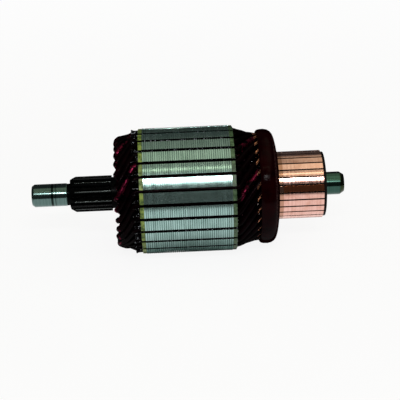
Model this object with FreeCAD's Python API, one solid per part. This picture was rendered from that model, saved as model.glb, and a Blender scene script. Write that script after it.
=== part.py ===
import FreeCAD, Part
import math
import os

# Wound armature of a small direct-current starter motor, in millimetres.
# The axis of rotation is X: the pinion end is at -X and the commutator end at +X.
# The origin lies on the axis at half the overall length.

# Shaft
shaft_length = 149.2
drive_journal_diameter = 10.9
drive_journal_length = 16.6
neck_diameter = 10.4
neck_length = 1.7
drive_end_bevel_length = 1.2
drive_end_bevel_depth = 0.85
seat_diameter = 15.0
rear_journal_diameter = 11.0
rear_journal_length = 9.75
rear_end_bevel_length = 2.1
rear_end_bevel_depth = 1.3
centre_hole_diameter = 2.5
centre_hole_angle = 60.0
seat_clearance = 0.02

# Pinion cut on the shaft
pinion_teeth = 11
pinion_module = 1.25
pinion_shift_ratio = 0.38
pinion_pressure_angle = 20.0
pinion_length = 19.8
pinion_nose_length = 2.5
pinion_nose_diameter = 14.0
pinion_start_angle = 148.5

# Core of stacked sheets
slot_count = 28
core_middle = -0.5
core_diameter = 60.0
core_sheet_thickness = 1.0
core_sheet_count = 41
slot_opening = 1.3
slot_lip = 0.8
fibre_sheet_thickness = 1.75
fibre_sheet_setback = 0.15

# Hairpin winding, one turn of hexagonal wire in each coil. Its turns about the axis are slot pitches.
wire_width = 2.6
slot_lip_clearance = 0.4
layer_step = 3.2
liner_thickness = 0.15
liner_clearance = 0.05
liner_reach_drive = 1.2
liner_reach_rear = 0.4
coil_span_count = 5
drive_leg_pitch_count = 2.5
outer_lead_pitch_count = 2.5
inner_lead_pitch_count = 1.5
drive_head_drop = 1.5
drive_head_shoulder = 0.6
drive_bend_start = 2.05
drive_head_length = 12.2
end_bend_reach = 1.1
end_bend_width = 1.6
rear_bend_start = 1.15
rear_head_length = 10.5
rear_head_sag = 0.45
lead_drop = 2.9

# Commutator
commutator_diameter = 32.4
bar_gap = 0.7
bar_bottom_radius = 11.5
riser_gap = 0.8
riser_lip = 0.05
riser_width = 5.2
lead_length = 4.6
undercut_depth = 0.5
hub_rim_diameter = 30.8
hub_rim_width = 1.35

# Resin band over the risers, with its places along the axis counted from the front of the risers
band_overhang = 1.0
band_edge_drop = 0.8
band_crown_place = 2.6
band_thickness = 1.55
band_shoulder_place = 6.0
band_shoulder_drop = 1.4
band_cheek_place = 7.4
band_cheek_drop = 4.7
band_end_place = 8.4
band_clearance = 0.05

# Flats to each slot pitch where a round form is drawn with flat sides
slot_flat_count = 2

# Sizes that follow from the ones above
slot_pitch = 360.0 / slot_count
wire_height = wire_width / math.cos(math.radians(30.0))
core_radius = core_diameter / 2
core_length = core_sheet_thickness * core_sheet_count
core_start = core_middle - core_length / 2
core_end = core_middle + core_length / 2
drive_face = core_start - fibre_sheet_thickness
rear_face = core_end + fibre_sheet_thickness
slot_shoulder_radius = core_radius - slot_lip
outer_wire_radius = slot_shoulder_radius - slot_lip_clearance - wire_height / 2
slot_width = wire_width + 2 * (liner_thickness + 2 * liner_clearance)
slot_bottom_radius = outer_wire_radius - layer_step - wire_height / 2 - liner_thickness - 2 * liner_clearance
drive_head_radius = outer_wire_radius - drive_head_drop
lead_radius = outer_wire_radius - lead_drop
rear_start = rear_face + rear_bend_start
rear_end = rear_start + rear_head_length
riser_start = rear_end + riser_gap
riser_end = riser_start + riser_width
riser_radius = lead_radius + wire_height / 2 + riser_lip
band_radius = riser_radius + band_thickness
rear_shoulder = shaft_length / 2 - rear_journal_length
bar_end = rear_shoulder - hub_rim_width


def place(axial, radius, pitches):
    """Point at an axial place, a radius and a turn about the axis counted in slot pitches."""
    angle = math.radians(pitches * slot_pitch)
    return FreeCAD.Vector(axial, radius * math.cos(angle), radius * math.sin(angle))


def outward(pitches):
    """Unit vector that points away from the axis at a turn counted in slot pitches."""
    return place(0, 1, pitches)


def turned(shape, pitches):
    """Copy of a shape turned about the axis by a number of slot pitches."""
    copy = shape.copy()
    copy.rotate(FreeCAD.Vector(0, 0, 0), FreeCAD.Vector(1, 0, 0), pitches * slot_pitch)
    return copy


def revolved(points):
    """Solid of revolution about the axis from points given as axial place and radius."""
    corners = [FreeCAD.Vector(axial, radius, 0) for axial, radius in points]
    face = Part.Face(Part.makePolygon(corners + corners[:1]))
    return face.revolve(FreeCAD.Vector(0, 0, 0), FreeCAD.Vector(1, 0, 0), 360)


def faceted_ring(points, sides, first=0.0):
    """Flat-sided solid about the axis, from a closed outline of axial places and radii."""
    faces = []
    slice_pitches = slot_count / sides
    for side in range(sides):
        turn = first + side * slice_pitches
        near = [place(axial, radius, turn) for axial, radius in points]
        far = [place(axial, radius, turn + slice_pitches) for axial, radius in points]
        for number in range(len(points)):
            after = (number + 1) % len(points)
            corners = [near[number], near[after]]
            corners += [far[after]] if points[after][1] > 0 else []
            corners += [far[number]] if points[number][1] > 0 else []
            if len(corners) > 2:
                faces.append(flat_face(corners))
    return closed_solid(faces)


def closed_solid(faces):
    """Solid inside a closed set of flat faces."""
    solid = Part.makeSolid(Part.makeShell(faces))
    if solid.Volume < 0:
        solid.reverse()
    return solid


def flat_face(corners):
    return Part.Face(Part.makePolygon(corners + corners[:1]))


def flat_sided_disc(start, end, radius, sides):
    """Disc with flat sides about the axis."""
    corners = [place(start, radius, side * slot_count / sides) for side in range(sides)]
    return flat_face(corners).extrude(FreeCAD.Vector(end - start, 0, 0))


def shaft_hole(start, end):
    """Hole with flat sides that just clear the shaft seat, a little longer than asked."""
    radius = (seat_diameter / 2 + seat_clearance) / math.cos(math.pi / slot_count)
    return flat_sided_disc(start - 1, end + 1, radius, slot_count)


def corner(axial, radius, half_width, pitches, side):
    """Corner at a radius, half a width to one side of the radial plane at a turn in slot pitches."""
    turn = math.degrees(math.asin(half_width / radius)) / slot_pitch
    return place(axial, radius, pitches + side * turn)


def arc(start, middle, end):
    return Part.Arc(start, middle, end).toShape()


def line(start, end):
    return Part.LineSegment(start, end).toShape()


def involute_half_angle(radius):
    """Half the angle that a pinion tooth takes up at a radius, in radians."""
    pressure = math.radians(pinion_pressure_angle)
    base = pinion_module * pinion_teeth / 2 * math.cos(pressure)
    at_radius = math.acos(min(1.0, base / radius))
    half_pitch_tooth = math.pi / 2 / pinion_teeth + 2 * pinion_shift_ratio * math.tan(pressure) / pinion_teeth
    return half_pitch_tooth + (math.tan(pressure) - pressure) - (math.tan(at_radius) - at_radius)


def pinion_section(axial):
    """Outline of the pinion teeth across the axis: involute flanks as arcs, with straight roots."""
    pressure = math.radians(pinion_pressure_angle)
    base = pinion_module * pinion_teeth / 2 * math.cos(pressure)
    tip = pinion_module * (pinion_teeth / 2 + 1 + pinion_shift_ratio)
    root = pinion_module * (pinion_teeth / 2 - 1.25 + pinion_shift_ratio)
    middle = (base + tip) / 2
    tooth_pitch = 2 * math.pi / pinion_teeth

    def point(radius, angle):
        return FreeCAD.Vector(axial, radius * math.cos(angle), radius * math.sin(angle))

    edges = []
    for tooth in range(pinion_teeth):
        centre = math.radians(pinion_start_angle) + tooth * tooth_pitch
        flank = [(base, involute_half_angle(base)), (middle, involute_half_angle(middle)),
                 (tip, involute_half_angle(tip))]
        rising = [point(radius, centre - half) for radius, half in flank]
        falling = [point(radius, centre + half) for radius, half in reversed(flank)]
        foot_half = involute_half_angle(base)
        foot_in = point(root, centre - foot_half)
        foot_out = point(root, centre + foot_half)
        next_foot = point(root, centre + tooth_pitch - foot_half)
        edges += [line(foot_in, rising[0]), arc(*rising), line(rising[2], falling[0]), arc(*falling),
                  line(falling[2], foot_out), line(foot_out, next_foot)]
    return Part.Face(Part.Wire(edges))


def pinion(start, end):
    """Pinion teeth, each with a flat bevel on its tip at the drive end."""
    tip = pinion_module * (pinion_teeth / 2 + 1 + pinion_shift_ratio)
    teeth = pinion_section(start).extrude(FreeCAD.Vector(end - start, 0, 0))
    flat = math.cos(math.pi / pinion_teeth)
    half_tooth = slot_count / pinion_teeth / 2
    blank = faceted_ring([(start, 0), (start, pinion_nose_diameter / 2 / flat),
                          (start + pinion_nose_length, tip / flat), (end, tip / flat), (end, 0)],
                         pinion_teeth, pinion_start_angle / slot_pitch + half_tooth)
    return teeth.common(blank)


def shaft():
    """Shaft turned in one piece, with the pinion cut on it and a centre hole in each end."""
    left = -shaft_length / 2
    right = shaft_length / 2
    drive = drive_journal_diameter / 2
    rear = rear_journal_diameter / 2
    hole = centre_hole_diameter / 2
    hole_depth = hole / math.tan(math.radians(centre_hole_angle / 2))
    neck_start = left + drive_journal_length
    pinion_start = neck_start + neck_length
    pinion_end = pinion_start + pinion_length
    body = revolved([
        (left + hole_depth, 0), (left, hole), (left, drive - drive_end_bevel_depth),
        (left + drive_end_bevel_length, drive), (neck_start, drive), (neck_start, neck_diameter / 2),
        (pinion_end, neck_diameter / 2), (pinion_end, seat_diameter / 2),
        (rear_shoulder, seat_diameter / 2), (rear_shoulder, rear),
        (right - rear_end_bevel_length, rear), (right, rear - rear_end_bevel_depth),
        (right, hole), (right - hole_depth, 0)])
    return body.fuse(pinion(pinion_start, pinion_end)).removeSplitter()


def slot_edges(start, slot, radius):
    """Edges of one slot from rim to rim: sloping lips, straight walls and a flat floor."""
    points = [corner(start, radius, slot_opening / 2, slot, -1)]
    points += [corner(start, slot_shoulder_radius, slot_width / 2, slot, -1)]
    points += [corner(start, slot_bottom_radius, slot_width / 2, slot, side) for side in (-1, 1)]
    points += [corner(start, slot_shoulder_radius, slot_width / 2, slot, 1)]
    points += [corner(start, radius, slot_opening / 2, slot, 1)]
    return [line(before, after) for before, after in zip(points, points[1:])]


def core_stack():
    """Stack of slotted steel sheets, pressed together on the shaft."""
    edges = []
    for slot in range(slot_count):
        edges += slot_edges(core_start, slot, core_radius)
        edges.append(arc(corner(core_start, core_radius, slot_opening / 2, slot, 1),
                         place(core_start, core_radius, slot + 0.5),
                         corner(core_start, core_radius, slot_opening / 2, slot + 1, -1)))
    stack = Part.Face(Part.Wire(edges)).extrude(FreeCAD.Vector(core_length, 0, 0))
    bore = Part.makeCylinder(seat_diameter / 2 + seat_clearance, 2 * core_length,
                             FreeCAD.Vector(-core_length, 0, 0), FreeCAD.Vector(1, 0, 0))
    return stack.cut(bore)


def end_sheet(start):
    """Fibre sheet with the slots of the core, which insulates one end of it."""
    radius = core_radius - fibre_sheet_setback
    end = start + fibre_sheet_thickness
    edges = []
    for slot in range(slot_count):
        edges += slot_edges(start, slot, radius)
        rim = place(start, radius, slot + 0.5)
        edges.append(line(corner(start, radius, slot_opening / 2, slot, 1), rim))
        edges.append(line(rim, corner(start, radius, slot_opening / 2, slot + 1, -1)))
    sheet = Part.Face(Part.Wire(edges)).extrude(FreeCAD.Vector(fibre_sheet_thickness, 0, 0))
    return sheet.cut(shaft_hole(start, end))


def slot_liner(slot):
    """Folded paper trough that lines one slot and stands out of it at both ends."""
    start = drive_face - liner_reach_drive
    end = rear_face + liner_reach_rear
    outer = slot_width / 2 - liner_clearance
    inner = outer - liner_thickness
    floor_radius = slot_bottom_radius + liner_clearance
    top = slot_shoulder_radius - liner_clearance
    inner_floor = floor_radius + liner_thickness
    outline = [(outer, top), (outer, floor_radius), (-outer, floor_radius), (-outer, top),
               (-inner, top), (-inner, inner_floor), (inner, inner_floor), (inner, top)]
    points = []
    for across, height in outline:
        sideways = outward(slot + slot_count / 4) * across
        points.append(FreeCAD.Vector(start, 0, 0) + outward(slot) * height + sideways)
    trough = Part.Face(Part.makePolygon(points + points[:1]))
    return trough.extrude(FreeCAD.Vector(end - start, 0, 0))


def rear_head_radius(axial):
    """Centre radius of the outer wires between the rear of the core and the risers."""
    share = (axial - rear_start) / rear_head_length
    straight = outer_wire_radius + (lead_radius - outer_wire_radius) * share
    return straight - rear_head_sag * 4 * share * (1 - share)


def hairpin_stations():
    """Corners of a hairpin from bar to bar: axial place, radius, turn in pitches and outer side.

    The outer side is 1 where it faces away from the axis, 0 where it faces the drive end and
    -1 where it faces the axis.
    """
    lead_end = riser_start + lead_length
    drive_start = drive_face - drive_bend_start
    tip = drive_face - drive_head_length + wire_width / 2
    leg_end = tip + end_bend_reach
    pitch_length = math.radians(slot_pitch) * drive_head_radius
    leg_turn = drive_leg_pitch_count - end_bend_width / pitch_length
    shoulder_turn = end_bend_width / pitch_length / 3
    middle_radius = drive_head_radius - layer_step / 2

    stations = [(lead_end, lead_radius, -outer_lead_pitch_count, 1)]
    for step in (1, 0.67, 0.33, 0):
        axial = rear_start + rear_head_length * step
        stations.append((axial, rear_head_radius(axial), -outer_lead_pitch_count * step, 1))
    knee_radius = drive_head_radius + drive_head_shoulder
    outer_leg = [(drive_start, outer_wire_radius, 0),
                 (drive_start + (leg_end - drive_start) / 3, knee_radius, leg_turn / 3),
                 (drive_start + (leg_end - drive_start) * 2 / 3, drive_head_radius, leg_turn * 2 / 3),
                 (leg_end, drive_head_radius, leg_turn)]
    stations += [(axial, radius, turn, 1) for axial, radius, turn in outer_leg]
    stations += [(tip, middle_radius + layer_step * 0.3, drive_leg_pitch_count - shoulder_turn, 0.33),
                 (tip, middle_radius - layer_step * 0.3, drive_leg_pitch_count + shoulder_turn, -0.33)]
    half_way = (drive_start + leg_end) / 2
    inner_leg = [outer_leg[3], (half_way, drive_head_radius, leg_turn / 2), outer_leg[0]]
    for axial, radius, turn in inner_leg:
        stations.append((axial, radius - layer_step, coil_span_count - turn, -1))
    for step in (0, 0.5, 1):
        axial = rear_start + rear_head_length * step
        turn = coil_span_count + inner_lead_pitch_count * step
        stations.append((axial, rear_head_radius(axial) - layer_step, turn, -1))
    stations.append((lead_end, lead_radius - layer_step, coil_span_count + inner_lead_pitch_count, -1))
    return stations


def hairpin_sections():
    """Hexagonal sections of a hairpin at its stations, square to the wire and mitred at its bends."""
    stations = hairpin_stations()
    points = [place(axial, radius, turn) for axial, radius, turn, side in stations]
    sections = []
    for number, (axial, radius, turn, side) in enumerate(stations):
        before = points[max(number - 1, 0)]
        after = points[min(number + 1, len(points) - 1)]
        arriving = (points[number] - before if number else after - points[number]).normalize()
        leaving = (after - points[number] if number < len(points) - 1 else arriving).normalize()
        along = (arriving + leaving).normalize()
        facing = outward(turn) * side + FreeCAD.Vector(abs(side) - 1, 0, 0)
        facing = (facing - along * facing.dot(along)).normalize()
        across = along.cross(facing)
        bend = leaving - arriving
        stretch = 0.0
        if abs(side) == 1 and bend.Length > 0.01:
            stretch = 1 / math.cos(arriving.getAngle(leaving) / 2) - 1
            bend = bend.normalize()
        section = []
        for edge in range(6):
            angle = math.radians(60.0 * edge)
            offset = (facing * math.cos(angle) + across * math.sin(angle)) * (wire_height / 2)
            section.append(points[number] + offset + bend * (offset.dot(bend) * stretch))
        sections.append(section)
    return sections


def least_twisted(section, before):
    """The same section with its corners counted from the one that twists the wire least."""
    def twist(shift):
        return sum((section[(edge + shift) % 6] - before[edge]).Length for edge in range(6))
    best = min(range(6), key=twist)
    return [section[(edge + best) % 6] for edge in range(6)]


def hairpin():
    """One wire bent to a hairpin, from its outer lead through two slots to its inner lead."""
    sections = hairpin_sections()
    faces = [flat_face(list(reversed(sections[0])))]
    last = sections[0]
    for section in sections[1:]:
        section = least_twisted(section, last)
        for edge in range(6):
            beside = (edge + 1) % 6
            faces.append(flat_face([last[edge], last[beside], section[beside]]))
            faces.append(flat_face([last[edge], section[beside], section[edge]]))
        last = section
    faces.append(flat_face(last))
    return closed_solid(faces)


def bar_side(axial, radius, bar, side):
    """Corner of a commutator bar at the sawn gap beside it."""
    return corner(axial, radius, bar_gap / 2, bar + side * 0.5, -side)


def commutator_bar(bar):
    """Copper bar with its riser, which has a slot for an outer and an inner lead."""
    track = commutator_diameter / 2
    slot_half = wire_width / 2 + band_clearance / 2
    slot_floor = lead_radius - layer_step - wire_height / 2 - band_clearance / 2
    feet = [bar_side(riser_start, bar_bottom_radius, bar, side) for side in (-1, 1)]
    tops = [bar_side(riser_start, riser_radius, bar, side) for side in (-1, 1)]
    lips = [corner(riser_start, riser_radius, slot_half, bar, side) for side in (-1, 1)]
    floors = [corner(riser_start, slot_floor, slot_half, bar, side) for side in (-1, 1)]
    riser_points = [feet[0], tops[0], lips[0], floors[0], floors[1], lips[1], tops[1], feet[1]]
    riser = flat_face(riser_points).extrude(FreeCAD.Vector(riser_width, 0, 0))
    low = [bar_side(riser_end, bar_bottom_radius, bar, side) for side in (-1, 1)]
    high = [bar_side(riser_end, track, bar, side) for side in (-1, 1)]
    section = Part.Face(Part.Wire([line(low[0], high[0]), arc(high[0], place(riser_end, track, bar), high[1]),
                                   line(high[1], low[1]), line(low[1], low[0])]))
    return riser.fuse(section.extrude(FreeCAD.Vector(bar_end - riser_end, 0, 0))).removeSplitter()


def ribbed_hub(start, end, radius):
    """Hub under the bars, with a rib up to a radius in each gap between them."""
    corners = []
    for bar in range(slot_count):
        centre = bar + 0.5
        corners += [bar_side(start, radius, centre, -1), bar_side(start, bar_bottom_radius, centre, -1),
                    bar_side(start, bar_bottom_radius, centre, 1), bar_side(start, radius, centre, 1)]
    return flat_face(corners).extrude(FreeCAD.Vector(end - start, 0, 0))


def commutator_moulding():
    """Moulded hub that carries the bars, with a rib in each gap and a rim at the rear."""
    ribs = ribbed_hub(riser_start, bar_end, commutator_diameter / 2 - undercut_depth)
    rim = flat_sided_disc(bar_end, rear_shoulder, hub_rim_diameter / 2, slot_count * slot_flat_count)
    return ribs.fuse(rim).cut(shaft_hole(riser_start, rear_shoulder)).removeSplitter()


def riser_band():
    """Ring of hardened resin that covers the risers and the ends of the leads."""
    half_flat = math.cos(math.pi / slot_count / slot_flat_count)
    bore = (riser_radius + band_clearance) / half_flat
    throat = (commutator_diameter / 2 + band_clearance) / half_flat
    from_riser = [
        (-band_overhang, bore), (-band_overhang, band_radius - band_edge_drop),
        (band_crown_place, band_radius), (band_shoulder_place, band_radius - band_shoulder_drop),
        (band_cheek_place, band_radius - band_cheek_drop), (band_end_place, throat),
        (riser_width + band_clearance, throat), (riser_width + band_clearance, bore)]
    outline = [(riser_start + along, radius) for along, radius in from_riser]
    return faceted_ring(outline, slot_count * slot_flat_count)


def save(name, shape):
    shape.exportStep("parts/" + name + ".step")


os.makedirs("parts", exist_ok=True)
save("shaft", shaft())
save("core_stack", core_stack())
save("end_sheet_drive", end_sheet(drive_face))
save("end_sheet_rear", end_sheet(core_end))
save("slot_liners", Part.makeCompound([slot_liner(slot) for slot in range(slot_count)]))
first_hairpin = hairpin()
for slot in range(slot_count):
    save("hairpin_%02d" % (slot + 1), turned(first_hairpin, slot))
save("commutator_bars", Part.makeCompound([commutator_bar(bar + 0.5) for bar in range(slot_count)]))
save("commutator_moulding", commutator_moulding())
save("riser_band", riser_band())
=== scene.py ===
import math
import random

import bpy
from mathutils import Matrix, Vector


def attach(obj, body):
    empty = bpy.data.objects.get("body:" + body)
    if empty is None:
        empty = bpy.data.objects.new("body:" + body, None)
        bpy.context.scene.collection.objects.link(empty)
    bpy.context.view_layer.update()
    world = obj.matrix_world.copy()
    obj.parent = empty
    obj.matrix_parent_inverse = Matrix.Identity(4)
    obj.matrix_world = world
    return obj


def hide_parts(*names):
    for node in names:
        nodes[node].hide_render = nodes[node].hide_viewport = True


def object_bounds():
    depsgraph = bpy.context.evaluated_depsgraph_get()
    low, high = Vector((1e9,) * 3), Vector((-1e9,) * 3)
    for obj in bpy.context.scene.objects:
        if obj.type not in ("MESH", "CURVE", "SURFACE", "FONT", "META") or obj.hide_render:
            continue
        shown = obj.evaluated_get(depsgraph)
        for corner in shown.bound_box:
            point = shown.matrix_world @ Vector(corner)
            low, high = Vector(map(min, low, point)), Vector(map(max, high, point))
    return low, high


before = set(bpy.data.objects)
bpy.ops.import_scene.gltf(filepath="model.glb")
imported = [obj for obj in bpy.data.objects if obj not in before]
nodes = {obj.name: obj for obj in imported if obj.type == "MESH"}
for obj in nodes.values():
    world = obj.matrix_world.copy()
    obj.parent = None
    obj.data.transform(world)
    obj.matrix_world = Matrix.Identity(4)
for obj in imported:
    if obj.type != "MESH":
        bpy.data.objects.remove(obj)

# Wound armature of a small starter motor. Metres; the axis of rotation is X, the pinion end at -X.
cad_box = [list(corner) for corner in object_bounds()]

MM = 0.001
FULL_TURN = 2 * math.pi
SLOTS = 28
PITCH = FULL_TURN / SLOTS

# Camera, from the photograph: 400 x 400 pixels
PHOTO_WIDTH_PX = 400
FOCAL_LENGTH_PX = 1200
ORIGIN_ACROSS_PX = 188.25
ORIGIN_DOWN_PX = 189.27
CAMERA_DISTANCE = 0.576
AXIS_RISE = math.radians(2.5)
AXIS_YAW = math.radians(1.24)
VIEW_ELEVATION = math.radians(26.2)
SENSOR_WIDTH_MM = 36.0
NEAREST_SEEN = 0.01
FARTHEST_SEEN = 50.0

# Lamps: name, degrees round from the camera's side, elevation, width, height, watts and colour
LAMP_DISTANCE = 1.0
WHITE = (1.0, 1.0, 1.0)
WARM_WHITE = (1.0, 0.97, 0.71)
LAMPS = [
    ("key", 0, 42.8, 1.2, 0.19, 2.9, WHITE),
    ("flash", 0, 44, 0.35, 0.04, 2.2, WHITE),
    ("strip", 0, 63, 1.2, 0.06, 0.5, WARM_WHITE),
    ("panel", 0, 88, 1.8, 0.5, 1.25, WARM_WHITE),
    ("ceiling", 90, 70, 1.9, 0.95, 1.6, WARM_WHITE),
    ("side", 90, 68, 2.4, 0.45, 1.1, WARM_WHITE),
]
ROOM_LEVEL = 0.14
ROOM_REFLECTED_LEVEL = 0.06

# Floor: a white sheet on a darker table, as the polished parts reflect them
FLOOR_RADIUS = 5
FLOOR_STEPS = 96
SHADOW_REACH = (0.12, 0.6)
SHADOW_WHITENESS = (0.9, 1.0)
# Painted shadow: the floor's glow in reflections, dark at the object and bright further out
PAINTED_SHADOW_REACH = (0.009, 0.047)
PAINTED_SHADOW_BRIGHTNESS = (0.0, 0.97)
SHEET_MIDDLE = (0.0, -0.07, 0.0)
SHEET_EDGE = (0.13, 0.23)
SHEET_BRIGHTNESS = (1.0, 0.06)

# Core
CORE_RADIUS = 30.0 * MM
CORE_START = -21.0 * MM
SHEET_PITCH = 1.0 * MM
SHEET_COUNT = 41
SHEET_GAP = 0.12 * MM
SHEET_EASE = 0.1 * MM
SHEET_STEPS = SLOTS * 12
RIM_CLEARANCE = 0.01 * MM
SLOT_OPENING = 1.3 * MM
SLOT_WIDTH = 3.1 * MM
SLOT_SHOULDER = 29.2 * MM
SLOT_BOTTOM = 22.35 * MM
SLOT_OVERRUN = 1.0 * MM
SEAT_RADIUS = 7.52 * MM
SEAT_STEPS = 56
SLOT_CUTTER_DEPTH = 3 * SHEET_PITCH
SEAT_CUTTER_DEPTH = 4 * SHEET_PITCH
RIM_DEPTH = (29.3 * MM, 29.9 * MM)

# Winding: turns are in slot pitches, counted from the slot of the outer leg
WIRE_RADIUS = 1.38 * MM
OUTER_LAYER = 27.3 * MM
INNER_LAYER = 24.1 * MM
LAYER_STEP = 3.2 * MM
COIL_SPAN = 5
SLOT_RUN_START = -22.0 * MM
SLOT_RUN_END = 20.0 * MM
REAR_HEAD_START = 22.9 * MM
REAR_HEAD_LENGTH = 10.5 * MM
OUTER_LEAD_TURN = -2.5
INNER_LEAD_TURN = 1.5
OUTER_LEAD_RADIUS = 24.4 * MM
INNER_LEAD_RADIUS = 21.2 * MM
LEAD_BEND = 36.0 * MM
LEAD_TIP = 38.6 * MM
REAR_HEAD_DROP = 2.9 * MM
REAR_HEAD_SAG = 1.8 * MM
BEND_SLIP_MM = (-0.3, 0.2)
BEND_LIFT_MM = (-0.15, 0.15)
WINDING_SEED = 28
LEAD_END = 33.4 * MM
LEAD_SLANT = 4.2 * MM
SCRAPE_LENGTH = 1.9 * MM
SCRAPE_OVERRUN = 9.0 * MM
SCRAPE_MIDDLE = 0.69
SCRAPE_HALF_WIDTH = (0.07, 0.13)
HEADS_FROM = (23.5 * MM, 24.5 * MM)
DRIVE_SLANT = 0.314 / MM
DRIVE_SLANT_START = 25.6 * MM
DRIVE_TURN_SHIFT = 0.28
DRIVE_BENDS = (-40.0 * MM, -32.4 * MM)
THIN_WIRE_DRAW = 0.8
THIN_WIRE_SHIFT = -4.0

# Paper liners, at the drive end
LINER_END = -23.5 * MM
TEAR_LENGTH = 1.1 * MM
TEAR_WANDER = 0.12 * MM
TEAR_SEED = 3
FRAY_LENGTH = 0.9 * MM
FRAY_WANDER = 0.3 * MM
FRAY_SPREAD = 1.01
FRAY_SEED = 7

# Commutator, resin band and shaft
BAND_STEPS = SLOTS * 6
TRACK_RADIUS = 16.2 * MM
TRACK_FACE = (TRACK_RADIUS - 0.25 * MM, TRACK_RADIUS - 0.08 * MM)
BAND_EDGE_ZONE = (40.0 * MM, 44.6 * MM)
BAND_TURNED_ZONE = (39.8 * MM, 41.4 * MM)
STAINED_BAR_DRAW = (0.84, 0.94)
STAINED_BAR_SHIFT = 3.0
SHAFT_HALF = 74.6 * MM
DRIVE_JOURNAL_END = -58.0 * MM
WORN_RING = (-65.4 * MM, -64.1 * MM)
THIN_RING = (-63.5 * MM, -62.7 * MM)
PINION_START = -56.3 * MM
PINION_END = -36.5 * MM
PINION_TIP_RADIUS = 8.6 * MM
TIP_FACE = (PINION_TIP_RADIUS - 0.12 * MM, PINION_TIP_RADIUS - 0.05 * MM)
REAR_SHOULDER = 64.85 * MM
REAR_BEVEL_START = 72.5 * MM

# Colours, linear; a pair is the base and the patches on it
BLACKED_STEEL = ((0.0004, 0.0006, 0.0006, 1), (0.002, 0.0025, 0.0025, 1))
GROUND_STEEL = ((0.09, 0.15, 0.138, 1), (0.135, 0.21, 0.195, 1))
RUNNING_RING = (0.006, 0.012, 0.01, 1)
OILED_STEEL = ((0.03, 0.072, 0.056, 1), (0.05, 0.11, 0.09, 1))
OILED_BEVEL = (0.035, 0.05, 0.025, 1)
WORN_TIP = (0.04, 0.046, 0.044, 1)
CORE_RIM = ((0.41, 0.59, 0.555, 1), (0.32, 0.49, 0.45, 1))
CORE_EDGE_TINT = (0.25, 0.33, 0.3, 1)
# CORE_SLOT_SHADE is painted shade: the near-black colour given to the slot walls
CORE_SLOT_SHADE = (0.01, 0.012, 0.012, 1)
DRIVE_FIBRE = ((0.25, 0.34, 0.06, 1), (0.045, 0.09, 0.01, 1))
REAR_FIBRE = ((0.02, 0.055, 0.015, 1), (0.10, 0.18, 0.08, 1))
SOAKED_PAPER = ((0.003, 0.0025, 0.003, 1), (0.55, 0.58, 0.64, 1))
ENAMEL = ((0.0003, 0.0002, 0.0002, 1), (0.0025, 0.0003, 0.0007, 1))
ENAMEL_TINT = (1.0, 0.6, 0.68, 1)
THIN_ENAMEL = (0.09, 0.006, 0.02, 1)
SCRAPED_COPPER = (0.85, 0.36, 0.2, 1)
TRACK_COPPER = ((0.76, 0.44, 0.37, 1), (0.90, 0.54, 0.46, 1))
BRUSH_FILM = (0.8, 0.68, 0.6, 1)
STAINED_COPPER = (0.58, 0.18, 0.08, 1)
BAND_EDGE_COPPER = (0.5, 0.26, 0.18, 1)
# BAR_SIDE_SHADE is painted shade: the near-black colour given to the copper bars' sides and ends
BAR_SIDE_SHADE = (0.006, 0.002, 0.0015, 1)
MOULDING = ((0.002, 0.0016, 0.0016, 1), (0.007, 0.005, 0.005, 1))
RESIN = ((0.0025, 0.0001, 0.0003, 1), (0.009, 0.0002, 0.0006, 1))
# RESIN_GLINT_SPECKS: lighter colour on the band's turned rim, painted glints
RESIN_GLINT_SPECKS = (0.1, 0.05, 0.05, 1)
FLOOR_TONES = ((0.86, 0.86, 0.86, 1), (0.9, 0.9, 0.9, 1))

# Finish
SHEEN_FADE = (0.25, 0.7)
VARNISH_SHEEN = 0.02
RESIN_SHEEN = 0.028
RING_WANDER = 60.0
RUNNING_RING_SHARE = 0.95
THIN_RING_SHARE = 0.6
GROUND_ROUGHNESS = 0.13
TIP_ROUGHNESS = 0.14
RIM_METALLIC = 0.92
RESIN_ROUGHNESS = (0.06, 0.42)
GLINT_SPECK_SHARE = 0.4
SPECK_HEIGHT = 0.3

# Eased edges
SHAFT_EASE = 0.09 * MM
LINER_EASE = 0.02 * MM
BAR_EASE = 0.03 * MM
HUB_EASE = 0.08 * MM
END_SHEET_EASE = 0.08 * MM

# Modelling: angles in degrees, past which an edge is eased or below which it is shaded smooth
COPY_MERGE = 0.002 * MM
CUTTER_MERGE = 0.001 * MM
LATHE_MERGE = 0.003 * MM
FLAT_ANGLE = 1.0
EASED_ANGLE = 35
SHEET_EASED_ANGLE = 50
SMOOTH_ANGLE = 32
SHEET_SMOOTH_ANGLE = 30
BAND_SMOOTH_ANGLE = 40
WIRE_SMOOTH_ANGLE = 60
FACES_ALONG = 0.9  # least part of a face's normal along an axis, to count as facing that way


# Helpers for modelling

def deselect():
    if bpy.context.object and bpy.context.object.mode != "OBJECT":
        bpy.ops.object.mode_set(mode="OBJECT")
    bpy.ops.object.select_all(action="DESELECT")


def take(piece):
    """Makes one object the only one selected and active."""
    deselect()
    piece.select_set(True)
    bpy.context.view_layer.objects.active = piece
    return piece


def settle(piece):
    """Puts an object's place and turn into its mesh."""
    take(piece)
    bpy.ops.object.transform_apply(location=True, rotation=True, scale=True)
    return piece


def named(name):
    """Names the active object and its mesh."""
    piece = bpy.context.object
    piece.name = name
    piece.data.name = name
    return piece


def pick_faces(piece, test):
    """Leaves the object in edit mode with the faces that pass a test selected."""
    take(piece)
    bpy.ops.object.mode_set(mode="EDIT")
    bpy.ops.mesh.select_mode(type="FACE")
    bpy.ops.mesh.select_all(action="DESELECT")
    bpy.ops.object.mode_set(mode="OBJECT")
    for face in piece.data.polygons:
        face.select = bool(test(face))
    bpy.ops.object.mode_set(mode="EDIT")


def finish_with(piece, kind, **settings):
    """Adds a modifier and applies it."""
    take(piece)
    modifier = piece.modifiers.new(kind.title(), kind)
    for key, value in settings.items():
        setattr(modifier, key, value)
    bpy.ops.object.modifier_apply(modifier=modifier.name)
    return piece


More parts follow.
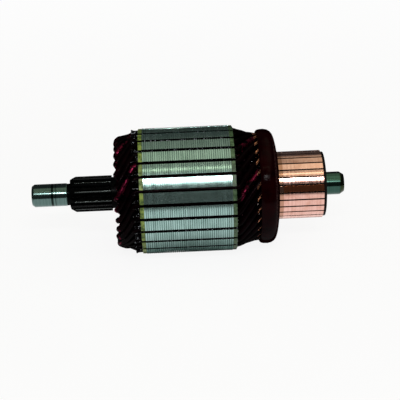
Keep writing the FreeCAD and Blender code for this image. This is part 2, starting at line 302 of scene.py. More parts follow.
def smooth(piece, degrees=SMOOTH_ANGLE):
    """Shades smooth across every edge that turns by less than an angle."""
    take(piece)
    bpy.ops.object.shade_smooth_by_angle(angle=math.radians(degrees))
    return piece


def paint(piece, material):
    piece.data.materials.clear()
    piece.data.materials.append(material)
    return piece


def place(axial, radius, pitches):
    """Point at an axial place, a radius and a turn about the axis in slot pitches."""
    angle = pitches * PITCH
    return Vector((axial, radius * math.cos(angle), radius * math.sin(angle)))


def eased_copy(node, name, ease):
    """Copy of a solid with its edges eased, as a file or a tumbling drum leaves them.

    Its normals are weighted by area, so that the eased edges don't tilt the flats beside them.
    """
    take(nodes[node])
    bpy.ops.object.duplicate()
    piece = named(name)
    for key in list(piece.keys()):
        del piece[key]
    piece.parent = None
    bpy.ops.object.mode_set(mode="EDIT")
    bpy.ops.mesh.select_all(action="SELECT")
    bpy.ops.mesh.remove_doubles(threshold=COPY_MERGE)
    bpy.ops.mesh.dissolve_limited(angle_limit=math.radians(FLAT_ANGLE))
    bpy.ops.object.mode_set(mode="OBJECT")
    finish_with(piece, "BEVEL", width=ease, segments=2, limit_method="ANGLE",
                angle_limit=math.radians(EASED_ANGLE), use_clamp_overlap=True)
    bpy.ops.mesh.customdata_custom_splitnormals_clear()
    smooth(piece)
    return finish_with(piece, "WEIGHTED_NORMAL", mode="FACE_AREA", weight=50, keep_sharp=True)


def lathe(name, outline, steps):
    """Closed ring about the axis, spun from an outline of axial places and radii."""
    deselect()
    bpy.ops.mesh.primitive_plane_add(size=1.0 * MM, location=(0, 0, 0))
    piece = named(name)
    bpy.ops.object.mode_set(mode="EDIT")
    bpy.ops.mesh.select_mode(type="VERT")
    bpy.ops.mesh.select_all(action="SELECT")
    bpy.ops.mesh.merge(type="CENTER")
    bpy.ops.transform.translate(value=(outline[0][0], outline[0][1], 0))
    for before, after in zip(outline, outline[1:]):
        step = (after[0] - before[0], after[1] - before[1], 0)
        bpy.ops.mesh.extrude_region_move(TRANSFORM_OT_translate={"value": step})
    bpy.ops.mesh.select_all(action="SELECT")
    bpy.ops.mesh.edge_face_add()
    bpy.ops.mesh.delete(type="ONLY_FACE")
    bpy.ops.mesh.select_all(action="SELECT")
    bpy.ops.mesh.spin(steps=steps, angle=FULL_TURN, center=(0, 0, 0), axis=(1, 0, 0))
    bpy.ops.mesh.select_all(action="SELECT")
    bpy.ops.mesh.remove_doubles(threshold=LATHE_MERGE)
    bpy.ops.mesh.normals_make_consistent(inside=False)
    bpy.ops.object.mode_set(mode="OBJECT")
    return piece


# Helpers for node trees

def new_group(name, inputs, outputs):
    """Empty node group with its sockets made; gives it with its entry's and result's sockets."""
    group = bpy.data.node_groups.new(name, "ShaderNodeTree")
    for label, kind, value in inputs:
        socket = group.interface.new_socket(label, in_out="INPUT", socket_type=kind)
        if value is not None:
            socket.default_value = value
    for label, kind in outputs:
        group.interface.new_socket(label, in_out="OUTPUT", socket_type=kind)
    entry = group.nodes.new("NodeGroupInput")
    result = group.nodes.new("NodeGroupOutput")
    return group, entry.outputs, result.inputs


def feed(tree, node, inputs):
    """Gives a node its inputs, where an input is a value or another node's socket."""
    for key, value in inputs.items():
        if isinstance(value, bpy.types.NodeSocket):
            tree.links.new(value, node.inputs[key])
        else:
            node.inputs[key].default_value = value
    return node


def add(tree, kind, inputs=None, **settings):
    """New node with its settings and its inputs."""
    node = tree.nodes.new("ShaderNode" + kind)
    for key, value in settings.items():
        setattr(node, key, value)
    return feed(tree, node, inputs or {})


def math_node(tree, operation, first, second=0.0, clamp=False):
    inputs = {0: first, 1: second}
    return add(tree, "Math", inputs, operation=operation, use_clamp=clamp).outputs[0]


def vector_node(tree, operation, first, second=(0.0, 0.0, 0.0)):
    return add(tree, "VectorMath", {0: first, 1: second}, operation=operation).outputs


def mix_colour(tree, share, first, second, blend="MIX"):
    node = add(tree, "Mix", data_type="RGBA", blend_type=blend, clamp_factor=True)
    return feed(tree, node, {0: share, 6: first, 7: second}).outputs[2]


def mix_value(tree, share, first, second):
    inputs = {0: share, 2: first, 3: second}
    return add(tree, "Mix", inputs, data_type="FLOAT").outputs[0]


def spread(tree, value, low, high, to_low=0.0, to_high=1.0):
    """Carries the range from low to high over to another range, and stays inside it."""
    inputs = {0: value, 1: low, 2: high, 3: to_low, 4: to_high}
    return add(tree, "MapRange", inputs, clamp=True).outputs[0]


def join(tree, socket, shader, name):
    tree.links.new(socket, shader.inputs[name])


def grey(level):
    return (level, level, level, 1.0)


# Shared effects, each a node group that puts out colours, masks or heights

def build_turned_marks():
    """Fine rings round the axis, as a turning tool or a grinding wheel leaves them."""
    group, given, result = new_group(
        "turned_marks",
        [("Vector", "NodeSocketVector", None), ("Rings per metre", "NodeSocketFloat", 9000.0)],
        [("Height", "NodeSocketFloat"), ("Tone", "NodeSocketFloat")])
    axes = add(group, "SeparateXYZ", {0: given["Vector"]})
    along = math_node(group, "MULTIPLY", axes.outputs[0], given["Rings per metre"])
    across = [math_node(group, "MULTIPLY", axes.outputs[axis], RING_WANDER) for axis in (1, 2)]
    stretched = add(group, "CombineXYZ", {0: along, 1: across[0], 2: across[1]}).outputs[0]
    fine = add(group, "TexNoise", {"Vector": stretched, "Scale": 1.0, "Detail": 2.0})
    broad = add(group, "TexNoise", {"Vector": stretched, "Scale": 0.13, "Detail": 3.0})
    group.links.new(fine.outputs[0], result["Height"])
    group.links.new(spread(group, broad.outputs[0], 0.35, 0.65), result["Tone"])
    return group


def build_mottle():
    """Uneven patches of one size, with a mask for where they are."""
    group, given, result = new_group(
        "mottle",
        [("Vector", "NodeSocketVector", None), ("Scale", "NodeSocketFloat", 200.0),
         ("Low", "NodeSocketFloat", 0.42), ("High", "NodeSocketFloat", 0.62),
         ("Base", "NodeSocketColor", None), ("Patch", "NodeSocketColor", None)],
        [("Color", "NodeSocketColor"), ("Mask", "NodeSocketFloat")])
    cloud = add(group, "TexNoise", {"Vector": given["Vector"], "Scale": given["Scale"],
                                    "Detail": 5.0, "Roughness": 0.6})
    share = spread(group, cloud.outputs[0], given["Low"], given["High"])
    colour = mix_colour(group, share, given["Base"], given["Patch"])
    group.links.new(colour, result["Color"])
    group.links.new(share, result["Mask"])
    return group


def build_axial_zone():
    """Mask that is one between two places along the axis, with soft ends."""
    group, given, result = new_group(
        "axial_zone",
        [("Vector", "NodeSocketVector", None), ("Start", "NodeSocketFloat", 0.0),
         ("End", "NodeSocketFloat", 0.01), ("Blur", "NodeSocketFloat", 0.0001)],
        [("Mask", "NodeSocketFloat")])
    axes = add(group, "SeparateXYZ", {0: given["Vector"]})
    from_start = math_node(group, "SUBTRACT", axes.outputs[0], given["Start"])
    to_end = math_node(group, "SUBTRACT", given["End"], axes.outputs[0])
    rising = math_node(group, "DIVIDE", from_start, given["Blur"], clamp=True)
    falling = math_node(group, "DIVIDE", to_end, given["Blur"], clamp=True)
    group.links.new(math_node(group, "MULTIPLY", rising, falling), result["Mask"])
    return group


def build_off_axis():
    """Distance from the axis of rotation."""
    group, given, result = new_group(
        "off_axis", [("Vector", "NodeSocketVector", None)], [("Radius", "NodeSocketFloat")])
    axes = add(group, "SeparateXYZ", {0: given["Vector"]})
    flat = add(group, "CombineXYZ", {1: axes.outputs[1], 2: axes.outputs[2]}).outputs[0]
    group.links.new(vector_node(group, "LENGTH", flat)["Value"], result["Radius"])
    return group


def build_slot_turn():
    """Turn about the axis in slot pitches."""
    group, given, result = new_group(
        "slot_turn", [("Vector", "NodeSocketVector", None)], [("Pitches", "NodeSocketFloat")])
    axes = add(group, "SeparateXYZ", {0: given["Vector"]})
    angle = math_node(group, "ARCTAN2", axes.outputs[2], axes.outputs[1])
    group.links.new(math_node(group, "DIVIDE", angle, PITCH), result["Pitches"])
    return group


def build_slot_draw():
    """Chance value from 0 to 1, the same all over the one wire or bar that a turn falls in."""
    group, given, result = new_group(
        "slot_draw", [("Turn", "NodeSocketFloat", 0.0), ("Shift", "NodeSocketFloat", 0.0)],
        [("Value", "NodeSocketFloat")])
    whole = math_node(group, "FLOOR", given["Turn"])
    shifted = math_node(group, "ADD", whole, given["Shift"])
    number = math_node(group, "FLOORED_MODULO", shifted, SLOTS)
    drawn = add(group, "TexWhiteNoise", {"W": number}, noise_dimensions="1D")
    group.links.new(drawn.outputs["Value"], result["Value"])
    return group


GROUPS = {
    "turned_marks": build_turned_marks(),
    "mottle": build_mottle(),
    "axial_zone": build_axial_zone(),
    "off_axis": build_off_axis(),
    "slot_turn": build_slot_turn(),
    "slot_draw": build_slot_draw(),
}


def effect(tree, name, **inputs):
    """Places a shared effect in a material; an underscore in an input's name stands for a space."""
    node = tree.nodes.new("ShaderNodeGroup")
    node.node_tree = GROUPS[name]
    return feed(tree, node, {key.replace("_", " "): value for key, value in inputs.items()}).outputs


def turned_marks(tree, where, rings_per_metre):
    return effect(tree, "turned_marks", Vector=where, Rings_per_metre=rings_per_metre)


def mottle(tree, where, scale, low, high, tones=(grey(0.0), grey(1.0))):
    return effect(tree, "mottle", Vector=where, Scale=scale, Low=low, High=high,
                  Base=tones[0], Patch=tones[1])


def zone(tree, where, start, end, blur):
    return effect(tree, "axial_zone", Vector=where, Start=start, End=end, Blur=blur)["Mask"]


def off_axis(tree, where):
    return effect(tree, "off_axis", Vector=where)["Radius"]


def slot_turn(tree, where):
    return effect(tree, "slot_turn", Vector=where)["Pitches"]


def slot_draw(tree, turn, shift):
    return effect(tree, "slot_draw", Turn=turn, Shift=shift)["Value"]


def new_material(name, **constants):
    """Material with a Principled shader, its constants set on the shader's own sockets."""
    material = bpy.data.materials.new(name)
    material.use_nodes = True
    tree = material.node_tree
    shader = tree.nodes["Principled BSDF"]
    for key, value in constants.items():
        shader.inputs[key.replace("_", " ")].default_value = value
    where = tree.nodes.new("ShaderNodeTexCoord").outputs["Object"]
    return material, tree, shader, where


def bump(tree, shader, height, strength, distance):
    node = add(tree, "Bump", {"Strength": strength, "Distance": distance, "Height": height})
    join(tree, node.outputs[0], shader, "Normal")


def roughen(tree, shader, mask, at_zero, at_one):
    """Roughness that goes from one value to another with a mask."""
    join(tree, spread(tree, mask, 0.0, 1.0, at_zero, at_one), shader, "Roughness")


def sheen(tree, shader, level):
    """Reflection of soaked varnish: full where it faces the viewer and gone at a grazing angle."""
    shader.inputs["Specular IOR Level"].default_value = level
    facing = tree.nodes.new("ShaderNodeLayerWeight").outputs["Facing"]
    fading = spread(tree, facing, *SHEEN_FADE, to_low=level, to_high=0.0)
    join(tree, fading, shader, "Specular IOR Level")


# Materials

def shaft_steel():
    """Ground journals, a black neck and pinion with worn tooth tips, and a dark oiled stub."""
    material, tree, shader, where = new_material("shaft_steel")
    marks = turned_marks(tree, where, rings_per_metre=14000.0)
    patches = mottle(tree, where, scale=420.0, low=0.45, high=0.7, tones=BLACKED_STEEL)
    ground = mix_colour(tree, marks["Tone"], *GROUND_STEEL)
    journal = zone(tree, where, -SHAFT_HALF - MM, DRIVE_JOURNAL_END + 0.2 * MM, blur=0.15 * MM)
    worn_ring = math_node(tree, "MULTIPLY", zone(tree, where, *WORN_RING, blur=0.2 * MM),
                          RUNNING_RING_SHARE)
    thin_ring = math_node(tree, "MULTIPLY", zone(tree, where, *THIN_RING, blur=0.2 * MM),
                          THIN_RING_SHARE)
    rings = math_node(tree, "ADD", worn_ring, thin_ring, clamp=True)
    ground = mix_colour(tree, rings, ground, RUNNING_RING)
    stub = zone(tree, where, REAR_SHOULDER - MM, SHAFT_HALF + MM, blur=0.1 * MM)
    bevel = zone(tree, where, REAR_BEVEL_START, SHAFT_HALF + MM, blur=0.15 * MM)
    oiled = mix_colour(tree, marks["Tone"], *OILED_STEEL)
    oiled = mix_colour(tree, bevel, oiled, OILED_BEVEL)
    tips = spread(tree, off_axis(tree, where), *TIP_FACE)
    toothed = zone(tree, where, PINION_START + 1.5 * MM, PINION_END, blur=0.3 * MM)
    worn_tip = math_node(tree, "MULTIPLY", tips, toothed)
    colour = mix_colour(tree, journal, patches["Color"], ground)
    colour = mix_colour(tree, stub, colour, oiled)
    colour = mix_colour(tree, worn_tip, colour, WORN_TIP)
    join(tree, colour, shader, "Base Color")
    bare = math_node(tree, "ADD", math_node(tree, "ADD", journal, stub), worn_tip, clamp=True)
    join(tree, bare, shader, "Metallic")
    rough_black = spread(tree, patches["Mask"], 0.0, 1.0, to_low=0.22, to_high=0.34)
    rough = mix_value(tree, bare, rough_black, GROUND_ROUGHNESS)
    rough = mix_value(tree, worn_tip, rough, TIP_ROUGHNESS)
    join(tree, rough, shader, "Roughness")
    sheen(tree, shader, VARNISH_SHEEN)
    marks_where_bare = math_node(tree, "MULTIPLY", marks["Height"], bare)
    bump(tree, shader, marks_where_bare, strength=0.04, distance=0.01 * MM)
    return material


def core_steel():
    """Rim of the pressed sheets: turned steel, each sheet a little different; painted shade in the
    slots.
    """
    material, tree, shader, where = new_material(
        "core_steel", Specular_IOR_Level=0.3, Specular_Tint=CORE_EDGE_TINT)
    axes = add(tree, "SeparateXYZ", {0: where})
    from_start = math_node(tree, "SUBTRACT", axes.outputs[0], CORE_START)
    counted = math_node(tree, "FLOOR", math_node(tree, "DIVIDE", from_start, SHEET_PITCH))
    each = add(tree, "TexWhiteNoise", {"W": counted}, noise_dimensions="1D").outputs["Value"]
    marks = turned_marks(tree, where, rings_per_metre=4000.0)
    patches = mottle(tree, where, scale=140.0, low=0.4, high=0.7, tones=CORE_RIM)
    sheet = mix_colour(tree, each, grey(0.8), grey(1.0))
    colour = mix_colour(tree, 1.0, patches["Color"], sheet, "MULTIPLY")
    # Below the rim the slot walls get a near-black, non-metallic colour: painted shade in the
    # slots, not the steel's own colour
    rim = spread(tree, off_axis(tree, where), *RIM_DEPTH)
    colour = mix_colour(tree, rim, CORE_SLOT_SHADE, colour)
    join(tree, colour, shader, "Base Color")
    join(tree, math_node(tree, "MULTIPLY", rim, RIM_METALLIC), shader, "Metallic")
    roughen(tree, shader, marks["Tone"], at_zero=0.13, at_one=0.19)
    bump(tree, shader, marks["Height"], strength=0.2, distance=0.01 * MM)
    return material


def fibre(name, tones, scale, low, high):
    """Pressed fibre with varnish soaked into it."""
    material, tree, shader, where = new_material(name, Roughness=0.5)
    patches = mottle(tree, where, scale, low, high, tones)
    strands = mottle(tree, where, scale=2600.0, low=0.3, high=0.7, tones=(grey(0.72), grey(1.0)))
    colour = mix_colour(tree, 1.0, patches["Color"], strands["Color"], "MULTIPLY")
    join(tree, colour, shader, "Base Color")
    roughen(tree, shader, patches["Mask"], at_zero=0.35, at_one=0.6)
    bump(tree, shader, strands["Mask"], strength=0.4, distance=0.05 * MM)
    return material


def slot_paper():
    """Whitish grey paper, soaked dark where the varnish ran."""
    material, tree, shader, where = new_material("slot_paper", Specular_IOR_Level=0.1)
    soaked = mottle(tree, where, scale=800.0, low=0.58, high=0.64, tones=SOAKED_PAPER)
    join(tree, soaked["Color"], shader, "Base Color")
    roughen(tree, shader, soaked["Mask"], at_zero=0.25, at_one=0.75)
    bump(tree, shader, soaked["Mask"], strength=0.3, distance=0.05 * MM)
    return material


def wire_enamel():
    """Nearly black maroon enamel with runs of varnish.

    It is scraped to copper just before each riser, and is thin and shows a red glint on a few
    wires, drawn by their number, and in drops on the bends at the drive end.
    """
    material, tree, shader, where = new_material("wire_enamel", Specular_Tint=ENAMEL_TINT)
    shades = mottle(tree, where, scale=260.0, low=0.4, high=0.65, tones=ENAMEL)
    scraped = zone(tree, where, LEAD_END - SCRAPE_LENGTH, LEAD_END + SCRAPE_OVERRUN, blur=0.3 * MM)
    axial = add(tree, "SeparateXYZ", {0: where}).outputs[0]
    turn = slot_turn(tree, where)
    slant = math_node(tree, "DIVIDE", math_node(tree, "SUBTRACT", axial, LEAD_END), LEAD_SLANT)
    rear_turn = math_node(tree, "ADD", turn, slant)
    across = math_node(tree, "FRACT", rear_turn)
    from_middle = math_node(tree, "ABSOLUTE", math_node(tree, "SUBTRACT", across, SCRAPE_MIDDLE))
    flank = spread(tree, from_middle, *SCRAPE_HALF_WIDTH, to_low=1.0, to_high=0.0)
    ragged = mottle(tree, where, scale=1100.0, low=0.42, high=0.5)["Mask"]
    copper = math_node(tree, "MULTIPLY", math_node(tree, "MULTIPLY", scraped, flank), ragged)

    wound = math_node(tree, "ADD", turn, math_node(tree, "MULTIPLY", axial, DRIVE_SLANT))
    drive_turn = math_node(tree, "ADD", wound, DRIVE_SLANT * DRIVE_SLANT_START + DRIVE_TURN_SHIFT)
    drive_side = math_node(tree, "LESS_THAN", axial, 0.0)
    helix = mix_value(tree, drive_side, rear_turn, drive_turn)
    drawn = slot_draw(tree, helix, THIN_WIRE_SHIFT)
    chosen = math_node(tree, "GREATER_THAN", drawn, THIN_WIRE_DRAW)
    heads = spread(tree, math_node(tree, "ABSOLUTE", axial), *HEADS_FROM)
    patchy = mottle(tree, where, scale=260.0, low=0.5, high=0.58)["Mask"]
    glints = math_node(tree, "MULTIPLY", math_node(tree, "MULTIPLY", heads, patchy), chosen)
    bends = zone(tree, where, *DRIVE_BENDS, blur=0.3 * MM)
    drops = mottle(tree, where, scale=700.0, low=0.56, high=0.62)["Mask"]
    thin = math_node(tree, "MAXIMUM", glints, math_node(tree, "MULTIPLY", bends, drops))

    colour = mix_colour(tree, thin, shades["Color"], THIN_ENAMEL)
    colour = mix_colour(tree, copper, colour, SCRAPED_COPPER)
    join(tree, colour, shader, "Base Color")
    join(tree, math_node(tree, "MAXIMUM", copper, thin), shader, "Metallic")
    roughen(tree, shader, thin, at_zero=0.12, at_one=0.26)
    sheen(tree, shader, VARNISH_SHEEN)
    runs = mottle(tree, where, scale=480.0, low=0.3, high=0.75)["Mask"]
    bump(tree, shader, runs, strength=0.35, distance=0.2 * MM)
    return material


def bar_copper():
    """Turned copper, filmed by the brushes, dull beside the band and stained on a few bars."""
    material, tree, shader, where = new_material("bar_copper", Metallic=1.0)
    marks = turned_marks(tree, where, rings_per_metre=9000.0)
    track = mix_colour(tree, marks["Tone"], *TRACK_COPPER)
    worn = mottle(tree, where, scale=260.0, low=0.45, high=0.75, tones=(grey(1.0), BRUSH_FILM))
    colour = mix_colour(tree, 1.0, track, worn["Color"], "MULTIPLY")
    drawn = slot_draw(tree, slot_turn(tree, where), STAINED_BAR_SHIFT)
    stained = spread(tree, drawn, *STAINED_BAR_DRAW)
    colour = mix_colour(tree, stained, colour, STAINED_COPPER)
    band_edge = zone(tree, where, *BAND_EDGE_ZONE, blur=0.3 * MM)
    colour = mix_colour(tree, band_edge, colour, BAND_EDGE_COPPER)
    # Below the track face the bars' sides and ends get a near-black colour: painted shade between
    # the bars, not the copper's own colour
    face = spread(tree, off_axis(tree, where), *TRACK_FACE)
    colour = mix_colour(tree, face, BAR_SIDE_SHADE, colour)
    join(tree, colour, shader, "Base Color")
    roughen(tree, shader, marks["Tone"], at_zero=0.1, at_one=0.17)
    bump(tree, shader, marks["Height"], strength=0.15, distance=0.01 * MM)
    return material


def black_moulding():
    """Moulded black resin with a fine dull grain."""
    material, tree, shader, where = new_material("black_moulding", Specular_IOR_Level=0.04)
    grain = mottle(tree, where, scale=1800.0, low=0.35, high=0.7, tones=MOULDING)
    join(tree, grain["Color"], shader, "Base Color")
    roughen(tree, shader, grain["Mask"], at_zero=0.4, at_one=0.6)
    bump(tree, shader, grain["Mask"], strength=0.2, distance=0.03 * MM)
    return material


def band_resin():
    """Dark maroon resin, glossy where it ran smooth, grainy with painted glint specks where turned.
    """
    material, tree, shader, where = new_material("band_resin")
    shades = mottle(tree, where, scale=150.0, low=0.35, high=0.7, tones=RESIN)
    grain = mottle(tree, where, scale=1500.0, low=0.45, high=0.65)["Mask"]
    turned = zone(tree, where, *BAND_TURNED_ZONE, blur=0.4 * MM)
    # Specks in the turned zone are partly the resin's grain, as bumps, and partly painted glints,
    # as a lighter colour along the rim
    grain_and_glint_specks = math_node(tree, "MULTIPLY", turned, grain)
    faint_glint_specks = math_node(tree, "MULTIPLY", grain_and_glint_specks, GLINT_SPECK_SHARE)
    join(tree, mix_colour(tree, faint_glint_specks, shades["Color"], RESIN_GLINT_SPECKS), shader, "Base Color")
    join(tree, mix_value(tree, turned, *RESIN_ROUGHNESS), shader, "Roughness")
    sheen(tree, shader, RESIN_SHEEN)
    waves = mottle(tree, where, scale=130.0, low=0.3, high=0.7)["Mask"]
    uneven = math_node(tree, "ADD", waves, math_node(tree, "MULTIPLY", grain_and_glint_specks, SPECK_HEIGHT))
    bump(tree, shader, uneven, strength=0.4, distance=0.3 * MM)
    return material


# Pieces

def make_shaft(material):
    """Shaft and pinion, with the edges of the teeth and journals eased."""
    piece = eased_copy("shaft", "turned_shaft", SHAFT_EASE)
    paint(piece, material)
    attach(piece, "root")
    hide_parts("shaft")


def slot_cutter():
    """Ring of bars with the slots' section, one a slot, standing through a sheet."""
    deselect()
    middle = (SLOT_BOTTOM + SLOT_SHOULDER) / 2
    bpy.ops.mesh.primitive_cube_add(size=1, location=(0, middle, 0))
    cutter = named("slot_cutter")
    cutter.scale = (SLOT_CUTTER_DEPTH, SLOT_SHOULDER - SLOT_BOTTOM, SLOT_WIDTH)
    settle(cutter)
    pick_faces(cutter, lambda face: face.normal.y > FACES_ALONG)
    to_rim = (0, CORE_RADIUS - SLOT_SHOULDER, 0)
    bpy.ops.mesh.extrude_region_move(TRANSFORM_OT_translate={"value": to_rim})
    bpy.ops.transform.resize(value=(1, 1, SLOT_OPENING / SLOT_WIDTH))
    bpy.ops.mesh.extrude_region_move(TRANSFORM_OT_translate={"value": (0, SLOT_OVERRUN, 0)})
    bpy.ops.mesh.select_all(action="SELECT")
    bpy.ops.mesh.spin(steps=SLOTS, dupli=True, angle=FULL_TURN, center=(0, 0, 0), axis=(1, 0, 0))
    bpy.ops.mesh.select_all(action="SELECT")
    bpy.ops.mesh.remove_doubles(threshold=CUTTER_MERGE)
    bpy.ops.mesh.normals_make_consistent(inside=False)
    bpy.ops.object.mode_set(mode="OBJECT")
    return cutter


def make_core(material):
    """Slotted sheets, cut once and stacked with a hair of varnish between them."""
    across_axis = (0, math.pi / 2, 0)
    bpy.ops.mesh.primitive_cylinder_add(
        vertices=SHEET_STEPS, radius=CORE_RADIUS - RIM_CLEARANCE,
        depth=SHEET_PITCH - SHEET_GAP, rotation=across_axis)
    sheet = settle(named("core_sheets"))
    cutter = slot_cutter()
    bpy.ops.mesh.primitive_cylinder_add(
        vertices=SEAT_STEPS, radius=SEAT_RADIUS, depth=SEAT_CUTTER_DEPTH, rotation=across_axis)
    bore = settle(named("bore_cutter"))
    for tool in (cutter, bore):
        finish_with(sheet, "BOOLEAN", operation="DIFFERENCE", object=tool, solver="EXACT")
        bpy.data.objects.remove(tool)
    finish_with(sheet, "BEVEL", width=SHEET_EASE, segments=1, limit_method="ANGLE",
                angle_limit=math.radians(SHEET_EASED_ANGLE))
    sheet.location.x = CORE_START + SHEET_PITCH / 2
    settle(sheet)
    finish_with(sheet, "ARRAY", count=SHEET_COUNT, use_relative_offset=False,
                use_constant_offset=True, constant_offset_displace=(SHEET_PITCH, 0, 0))
    smooth(paint(sheet, material), SHEET_SMOOTH_ANGLE)
    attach(sheet, "root")
    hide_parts("core_stack")


def rear_head_radius(share):
    """Centre radius of the outer wires from the core, at 0, to the risers, at 1."""
    return OUTER_LAYER - REAR_HEAD_DROP * share - REAR_HEAD_SAG * share * (1 - share)


def wire_route(chance):
    """Points of one hairpin as axial place, radius and turn, each hairpin bent a bit differently.

    It goes from the tip of the outer lead through the outer leg, round the bend at the drive end,
    and back through the inner leg to the tip of the inner lead.
    """
    slip = chance.uniform(*BEND_SLIP_MM) * MM
    lift = chance.uniform(*BEND_LIFT_MM) * MM
    route = [(LEAD_TIP, OUTER_LEAD_RADIUS, OUTER_LEAD_TURN),
             (LEAD_BEND, OUTER_LEAD_RADIUS, OUTER_LEAD_TURN)]
    route += [(REAR_HEAD_START + REAR_HEAD_LENGTH * share, rear_head_radius(share),
               OUTER_LEAD_TURN * share) for share in (1.0, 0.8, 0.6, 0.4, 0.2, 0.0)]
    route += [(SLOT_RUN_END, OUTER_LAYER, 0), (SLOT_RUN_START, OUTER_LAYER, 0)]
    leg = [(-24.4 * MM, 27.3 * MM, 0.0), (-25.6 * MM, 27.25 * MM, 0.22),
           (-27.0 * MM, 26.5 * MM, 0.66), (-28.6 * MM, 25.9 * MM, 1.18),
           (-30.4 * MM, 25.8 * MM, 1.75), (-32.1 * MM, 25.6 * MM, 2.26)]
    bend = [(-33.1 * MM, 24.9 * MM, 2.45), (-33.5 * MM, 24.1 * MM, 2.5),
            (-33.1 * MM, 23.3 * MM, 2.55)]
    route += [(axial, radius + lift, turn) for axial, radius, turn in leg]
    route += [(axial - slip, radius + lift, turn) for axial, radius, turn in bend]
    route += [(axial, radius - LAYER_STEP, COIL_SPAN - turn)
              for axial, radius, turn in reversed(leg)]
    route += [(SLOT_RUN_START, INNER_LAYER, COIL_SPAN), (SLOT_RUN_END, INNER_LAYER, COIL_SPAN)]
    route += [(REAR_HEAD_START + REAR_HEAD_LENGTH * share, rear_head_radius(share) - LAYER_STEP,
               COIL_SPAN + INNER_LEAD_TURN * share) for share in (0.0, 0.25, 0.5, 0.75, 1.0)]
    route += [(LEAD_BEND, INNER_LEAD_RADIUS, COIL_SPAN + INNER_LEAD_TURN),
              (LEAD_TIP, INNER_LEAD_RADIUS, COIL_SPAN + INNER_LEAD_TURN)]
    return route


def make_hairpins(material):
    """Round wires, one a slot, each a smooth curve along its route."""
    chance = random.Random(WINDING_SEED)
    for number in range(SLOTS):
        curve = bpy.data.curves.new("wire_path", "CURVE")
        curve.dimensions = "3D"
        curve.bevel_depth = WIRE_RADIUS
        curve.bevel_resolution = 2
        curve.use_fill_caps = True
        spline = curve.splines.new("NURBS")
        route = [place(axial, radius, turn + number) for axial, radius, turn in wire_route(chance)]
        spline.points.add(len(route) - 1)
        for point, at in zip(spline.points, route):
            point.co = (*at, 1.0)
        spline.order_u = 3
        spline.use_endpoint_u = True
        spline.resolution_u = 3
        wire = bpy.data.objects.new("wire_%02d" % (number + 1), curve)
        bpy.context.scene.collection.objects.link(wire)
        take(wire)
        bpy.ops.object.convert(target="MESH")
        smooth(paint(wire, material), WIRE_SMOOTH_ANGLE)
        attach(wire, "root")
        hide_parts("hairpin_%02d" % (number + 1))


def make_liners(material):
    """Paper troughs, torn and spread outwards where they stand out of the core's drive end."""
    piece = eased_copy("slot_liners", "paper_liners", LINER_EASE)
    pick_faces(piece, lambda face: face.normal.x < -FACES_ALONG and face.center.x < LINER_END)
    bpy.ops.mesh.extrude_region_move(TRANSFORM_OT_translate={"value": (-TEAR_LENGTH, 0, 0)})
    bpy.ops.transform.vertex_random(offset=TEAR_WANDER, seed=TEAR_SEED)
    bpy.ops.mesh.extrude_region_move(TRANSFORM_OT_translate={"value": (-FRAY_LENGTH, 0, 0)})
    bpy.ops.transform.resize(value=(1, FRAY_SPREAD, FRAY_SPREAD), center_override=(0, 0, 0))
    bpy.ops.transform.vertex_random(offset=FRAY_WANDER, seed=FRAY_SEED)
    bpy.ops.object.mode_set(mode="OBJECT")
    smooth(paint(piece, material))
    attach(piece, "root")
    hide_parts("slot_liners")


def make_band(material):
    """Resin ring over the risers, spun and rounded; its outline is in millimetres."""
    outline = [(33.2, 26.05), (33.2, 26.6), (33.7, 27.1), (34.9, 27.38), (36.8, 27.48),
               (38.6, 27.1), (39.9, 26.3), (40.8, 25.1), (41.35, 23.6), (41.8, 21.6),
               (42.25, 18.9), (42.5, 17.2), (42.59, 16.28), (39.5, 16.28), (39.5, 26.05)]
    outline = [(axial * MM, radius * MM) for axial, radius in outline]
    piece = lathe("resin_band", outline, BAND_STEPS)
    smooth(paint(piece, material), BAND_SMOOTH_ANGLE)
    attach(piece, "root")
    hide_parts("riser_band")


def make_commutator(copper, moulding):
    """Bars and the hub between and behind them, with their edges eased."""
    bars = eased_copy("commutator_bars", "copper_bars", BAR_EASE)
    hub = eased_copy("commutator_moulding", "moulded_hub", HUB_EASE)
    for piece, node, material in ((bars, "commutator_bars", copper),
                                  (hub, "commutator_moulding", moulding)):
        paint(piece, material)
        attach(piece, "root")
        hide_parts(node)


def make_end_sheets():
    """Fibre sheet at each end of the core."""
    drive = fibre("fibre_drive", DRIVE_FIBRE, scale=420.0, low=0.42, high=0.6)
    rear = fibre("fibre_rear", REAR_FIBRE, scale=520.0, low=0.45, high=0.66)
    for node, name, material in (("end_sheet_drive", "drive_sheet", drive),
                                 ("end_sheet_rear", "rear_sheet", rear)):
        piece = eased_copy(node, name, END_SHEET_EASE)
        paint(piece, material)
        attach(piece, "root")
        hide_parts(node)


# Floor, light and camera

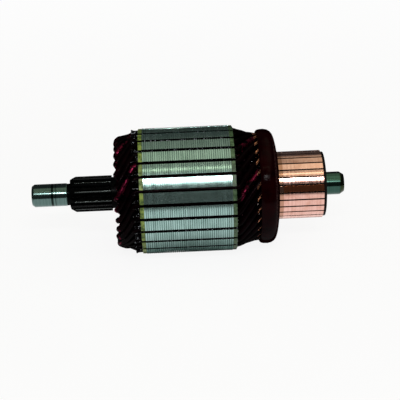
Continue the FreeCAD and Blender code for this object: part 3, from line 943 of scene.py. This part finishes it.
def make_floor(height):
    """Pale floor that reads white to the camera and keeps the object's shadow.

    In reflections it is a white sheet with a painted shadow under the object; it ends on a darker
    table.
    """
    deselect()
    bpy.ops.mesh.primitive_circle_add(vertices=FLOOR_STEPS, radius=FLOOR_RADIUS, fill_type="NGON",
                                      location=(0, 0, height))
    floor = settle(named("floor"))
    material, tree, shader, where = new_material("floor_white", Roughness=0.9)
    speckle = mottle(tree, where, scale=40.0, low=0.3, high=0.7, tones=FLOOR_TONES)
    join(tree, speckle["Color"], shader, "Base Color")
    path = tree.nodes.new("ShaderNodeLightPath").outputs
    at = vector_node(tree, "MULTIPLY", where, (1.0, 1.0, 0.0))[0]
    away = vector_node(tree, "LENGTH", at)["Value"]
    from_sheet = vector_node(tree, "DISTANCE", at, SHEET_MIDDLE)["Value"]
    seen = math_node(tree, "MAXIMUM", path["Is Camera Ray"], path["Is Transmission Ray"])
    whiteness = spread(tree, away, *SHADOW_REACH, *SHADOW_WHITENESS)
    seen_share = math_node(tree, "MULTIPLY", seen, whiteness)
    # For reflections the floor's glow is darkened near the object as a painted shadow, and dimmed
    # past the sheet's edge
    mirrored = math_node(tree, "MULTIPLY",
                         spread(tree, away, *PAINTED_SHADOW_REACH, *PAINTED_SHADOW_BRIGHTNESS),
                         spread(tree, from_sheet, *SHEET_EDGE, *SHEET_BRIGHTNESS))
    share = math_node(tree, "MAXIMUM", seen_share, path["Is Glossy Ray"])
    level = mix_value(tree, path["Is Glossy Ray"], 1.0, mirrored)
    white = add(tree, "Emission", {"Color": grey(1.0), "Strength": level})
    blend = add(tree, "MixShader", {0: share, 1: shader.outputs[0], 2: white.outputs[0]})
    tree.links.new(blend.outputs[0], tree.nodes["Material Output"].inputs["Surface"])
    paint(floor, material)


def make_world():
    """Dim even room, darker in reflections and white where the camera looks past the floor."""
    world = bpy.data.worlds.new("studio")
    world.use_nodes = True
    bpy.context.scene.world = world
    tree = world.node_tree
    room = tree.nodes["Background"]
    room.inputs["Color"].default_value = grey(1.0)
    path = tree.nodes.new("ShaderNodeLightPath").outputs
    level = spread(tree, path["Is Glossy Ray"], 0.0, 1.0, ROOM_LEVEL, ROOM_REFLECTED_LEVEL)
    join(tree, level, room, "Strength")
    white = add(tree, "Background", {"Color": grey(1.0), "Strength": 1.0})
    seen = math_node(tree, "MAXIMUM", path["Is Camera Ray"], path["Is Transmission Ray"])
    blend = add(tree, "MixShader", {0: seen, 1: room.outputs[0], 2: white.outputs[0]})
    tree.links.new(blend.outputs[0], tree.nodes["World Output"].inputs["Surface"])


def add_softbox(name, azimuth, elevation, width, height, power, tint):
    """Area light that faces the object; azimuth 0 is the side of the camera."""
    turn = math.radians(azimuth)
    rise = math.radians(elevation)
    away = Vector((math.sin(turn) * math.cos(rise), -math.cos(turn) * math.cos(rise),
                   math.sin(rise)))
    light = bpy.data.lights.new(name, "AREA")
    light.shape = "RECTANGLE"
    light.size = width
    light.size_y = height
    light.energy = power
    light.color = tint
    lamp = bpy.data.objects.new(name, light)
    bpy.context.scene.collection.objects.link(lamp)
    lamp.location = away * LAMP_DISTANCE
    lamp.rotation_mode = "QUATERNION"
    lamp.rotation_quaternion = away.to_track_quat("Z", "Y")


def make_camera():
    """Camera that sees the axis rise and recede to the right as in the photograph."""
    axis = Vector((math.cos(AXIS_RISE) * math.cos(AXIS_YAW),
                   math.sin(AXIS_RISE) * math.cos(AXIS_YAW), -math.sin(AXIS_YAW)))
    centre = PHOTO_WIDTH_PX / 2
    origin = Vector(((ORIGIN_ACROSS_PX - centre) / FOCAL_LENGTH_PX,
                     (centre - ORIGIN_DOWN_PX) / FOCAL_LENGTH_PX, -1.0)) * CAMERA_DISTANCE
    towards = -origin
    near = (towards - axis * towards.dot(axis)).normalized()
    over = axis.cross(near)
    turn = math.pi - VIEW_ELEVATION
    y_axis = near * math.cos(turn) - over * math.sin(turn)
    z_axis = near * math.sin(turn) + over * math.cos(turn)
    to_world = Matrix((axis, y_axis, z_axis))
    data = bpy.data.cameras.new("camera")
    data.sensor_width = SENSOR_WIDTH_MM
    data.lens = FOCAL_LENGTH_PX * SENSOR_WIDTH_MM / PHOTO_WIDTH_PX
    data.clip_start = NEAREST_SEEN
    data.clip_end = FARTHEST_SEEN
    camera = bpy.data.objects.new("camera", data)
    bpy.context.scene.collection.objects.link(camera)
    camera.rotation_mode = "QUATERNION"
    camera.rotation_quaternion = to_world.to_quaternion()
    camera.location = -(to_world @ origin)
    bpy.context.scene.camera = camera


make_camera()
make_shaft(shaft_steel())
make_core(core_steel())
make_end_sheets()
make_liners(slot_paper())
make_hairpins(wire_enamel())
make_band(band_resin())
make_commutator(bar_copper(), black_moulding())
make_world()
make_floor(cad_box[0][2])
for lamp_values in LAMPS:
    add_softbox(*lamp_values)
bpy.context.scene.view_settings.view_transform = "Standard"
